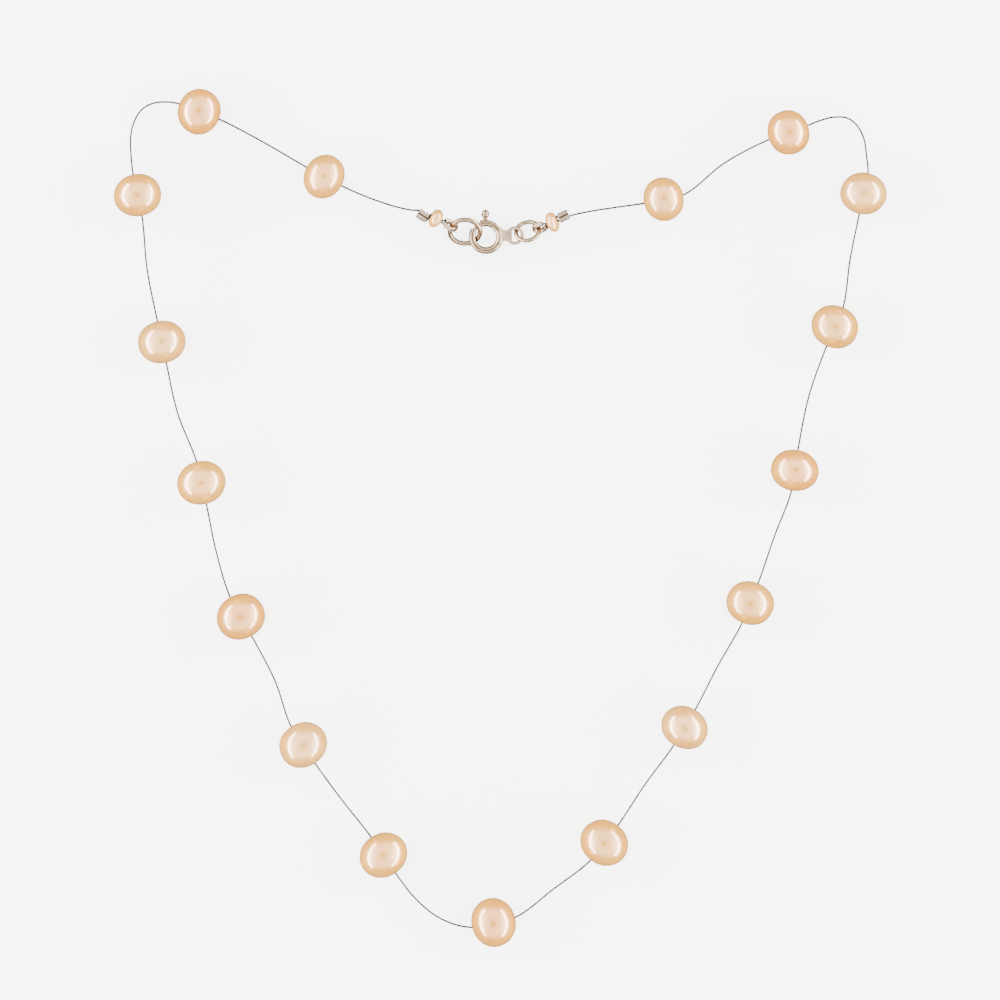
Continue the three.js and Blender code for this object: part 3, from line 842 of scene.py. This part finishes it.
def neck_rings():
    """The flat neck from the clasp's tube to its eye: narrow at its waist, thinner outwards."""
    start, waist_x, end = NECK["from"], NECK["waist_x"], NECK["to"]
    xs = np.linspace(start, end, 24)
    before = np.clip((waist_x - xs) / (waist_x - start), 0, 1)
    after = np.clip((xs - waist_x) / (end - waist_x), 0, 1)
    halves = (NECK["waist"] + (NECK["flare"] - NECK["waist"]) * before ** 2
              + (NECK["eye"] - NECK["waist"]) * after ** 2)
    turn = np.linspace(0, 2 * math.pi, 48, endpoint=False)
    flat = np.sign(np.sin(turn)) * np.abs(np.sin(turn)) ** NECK_ROUND["thick"] / 2
    thick = np.interp(xs, (start, end), NECK_THICKNESS)
    wide = np.sign(np.cos(turn)) * np.abs(np.cos(turn)) ** NECK_ROUND["wide"]
    return np.array([np.stack([np.full_like(turn, x), EYE["y"] + half * wide, flat * t], axis=-1)
                     for x, half, t in zip(xs, halves, thick)])


def add_clasp_tail():
    """Neck and eye in one, soldered to the tube with a soft fillet."""
    eye_path = circle(EYE["radius"], np.linspace(0, 360, 97)) + (EYE["x"], EYE["y"], 0)
    eye = skin("eye", rod_rings(eye_path, EYE["wire"], 32)[:-1], closed=True)
    collar = skin("collar", arc_rings(CLASP_R, TUBE["r"] + COLLAR["over"], -COLLAR["reach"],
                                      COLLAR["reach"], step=TAIL_STEP, sides=40,
                                      fillet=COLLAR["fillet"]))
    neck = skin("neck", neck_rings())
    piece = fused("ring_tail", [neck, eye, collar], TAIL_VOXEL, TAIL_SMOOTHING)
    cut(piece, skin("seat", arc_rings(CLASP_R, TUBE["r"] - SEAT["under"], -SEAT["reach"],
                                      SEAT["reach"], step=TAIL_STEP, sides=40,
                                      fillet=CUTTER_FILLET)))
    move(piece, CLASP)
    finish_piece(piece, SILVER_WORN, ["clasp_tail"], "clasp", 60)


def add_clasp_bolt():
    rings = arc_rings(CLASP_R, BOLT["r"], BOLT["rear"], BOLT["tip"], step=FINE_STEP, sides=36,
                      fillet=BOLT["fillet"])
    piece = skin("ring_bolt", rings)
    move(piece, CLASP)
    finish_piece(piece, SILVER_DRAWN, ["clasp_bolt"], "bolt", 60)


def add_clasp_knob():
    """Thumb knob: a ball on a neck that is flattened to pass through the slot."""
    around = np.linspace(KNOB_ROUND["join"], KNOB_ROUND["top"], 24)
    ball_x = KNOB["centre"] + KNOB["ball_r"] * np.cos(around)
    ball_out = KNOB["ball_r"] * np.sin(around)
    neck_x = np.linspace(KNOB["foot"], ball_x[0], 14)[:-1]
    widening = np.clip(1 - (ball_x[0] - neck_x) / KNOB_NECK["widens_over"], 0, 1) ** 2
    neck_z = KNOB_NECK["z"] + (KNOB_NECK["top_z"] - KNOB_NECK["z"]) * widening
    xs = np.append(neck_x, ball_x)
    half_y = np.append(np.full_like(neck_x, KNOB_NECK["y"]), ball_out)
    half_z = np.append(neck_z, ball_out)
    turn = np.linspace(0, 2 * math.pi, 48, endpoint=False)
    rings = [np.stack([np.full_like(turn, x), y * np.cos(turn), z * np.sin(turn)], axis=-1)
             for x, y, z in zip(xs, half_y, half_z)]
    piece = skin("ring_knob", np.array(rings))
    changed(piece, "SMOOTH", factor=0.5, iterations=3)
    aim = direction(KNOB["angle"])
    move(piece, CLASP, aim, np.cross((0, 0, 1), aim))
    finish_piece(piece, SILVER, ["clasp_knob"], "bolt", 60)


def add_clasp_spring():
    """Coil spring between the bolt and the stop in the tube. The real one shortens with the bolt;
    this one is fixed in place, on no moving body.
    """
    steps = SPRING["turns"] * 16
    share = np.linspace(0, 1, steps + 1)
    angles = np.radians(SPRING["rear"] + share * (SPRING["front"] - SPRING["rear"]))
    coil = share * SPRING["turns"] * 2 * math.pi
    out = CLASP_R + SPRING["coil_r"] * np.cos(coil)
    path = np.stack([out * np.cos(angles), out * np.sin(angles),
                     SPRING["coil_r"] * np.sin(coil)], axis=-1)
    piece = skin("ring_spring", rod_rings(path, SPRING["wire_r"], 8))
    move(piece, CLASP)
    finish_piece(piece, SPRING_METAL, ["clasp_spring"], sharp=60)
    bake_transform(piece)


add_clasp_tube()
add_clasp_tail()
add_clasp_bolt()
add_clasp_knob()
add_clasp_spring()


# ---- studio ----------------------------------------------------------------------------------

def add_floor():
    """A plain white table. It glows for the camera, and reflections see it nearly black."""
    mesh = bpy.data.meshes.new("floor")
    z = -FLOOR_DROP * MM
    corners = [(-FLOOR_HALF, -FLOOR_HALF, z), (FLOOR_HALF, -FLOOR_HALF, z),
               (FLOOR_HALF, FLOOR_HALF, z), (-FLOOR_HALF, FLOOR_HALF, z)]
    mesh.from_pydata(corners, [], [(0, 1, 2, 3)])
    floor = bpy.data.objects.new("floor", mesh)
    bpy.context.collection.objects.link(floor)
    material, tree, surface = shader("floor_white", Roughness=0.9, Specular_IOR_Level=0.1,
                                     Emission_Color=(1, 1, 1, 1))
    rays = node(tree, "ShaderNodeLightPath")
    tree.links.new(mixed(tree, rays.outputs["Is Glossy Ray"], FLOOR_WHITE, FLOOR_REFLECTED),
                   surface.inputs["Base Color"])
    tree.links.new(maths(tree, "MULTIPLY", rays.outputs["Is Camera Ray"], FLOOR_GLOW),
                   surface.inputs["Emission Strength"])
    mesh.materials.append(material)


def add_softbox(side, sign):
    """A rectangular soft light beside the necklace, which faces its middle."""
    data = bpy.data.lights.new(f"softbox_{side}", "AREA")
    data.shape = "RECTANGLE"
    data.size, data.size_y = SOFTBOX["size"]
    data.energy = SOFTBOX["power"]
    light = bpy.data.objects.new(f"softbox_{side}", data)
    light.location = Vector((sign * SOFTBOX["aside"], 0, SOFTBOX["height"]))
    light.rotation_euler = (-light.location).to_track_quat("-Z", "Y").to_euler()
    bpy.context.collection.objects.link(light)


def add_sky():
    """A pale tent, dark near the horizon, brighter round the softboxes, the lens at its top."""
    world = bpy.data.worlds.new("studio")
    bpy.context.scene.world = world
    world.use_nodes = True
    tree = world.node_tree
    place = node(tree, "ShaderNodeTexCoord")
    aim = node(tree, "ShaderNodeSeparateXYZ", {0: place.outputs["Generated"]})
    ramp = node(tree, "ShaderNodeValToRGB", {0: aim.outputs[2]})
    stops = ramp.color_ramp.elements
    for stop, (height, colour) in zip(stops, (TENT_HORIZON, TENT_WALL)):
        stop.position, stop.color = height, (*colour, 1)
    for height, level in TENT_TOP:
        stops.new(height).color = (level, level, level, 1)
    aside = maths(tree, "ABSOLUTE", aim.outputs[0])
    glow = node(tree, "ShaderNodeMapRange",
                {"Value": aside, "From Min": SIDE_GLOW["from"], "From Max": SIDE_GLOW["to"],
                 "To Min": 1.0, "To Max": SIDE_GLOW["level"]}, interpolation_type="SMOOTHSTEP")
    lit = node(tree, "ShaderNodeVectorMath",
               {0: ramp.outputs["Color"], "Scale": glow.outputs["Result"]}, operation="SCALE")
    rays = node(tree, "ShaderNodeLightPath")
    shown = mixed(tree, rays.outputs["Is Camera Ray"], lit.outputs[0], [BACKGROUND_LEVEL] * 3)
    background = tree.nodes["Background"]
    tree.links.new(shown, background.inputs["Color"])
    background.inputs["Strength"].default_value = TENT_LEVEL


add_floor()
add_sky()
add_softbox("left", -1)
add_softbox("right", 1)
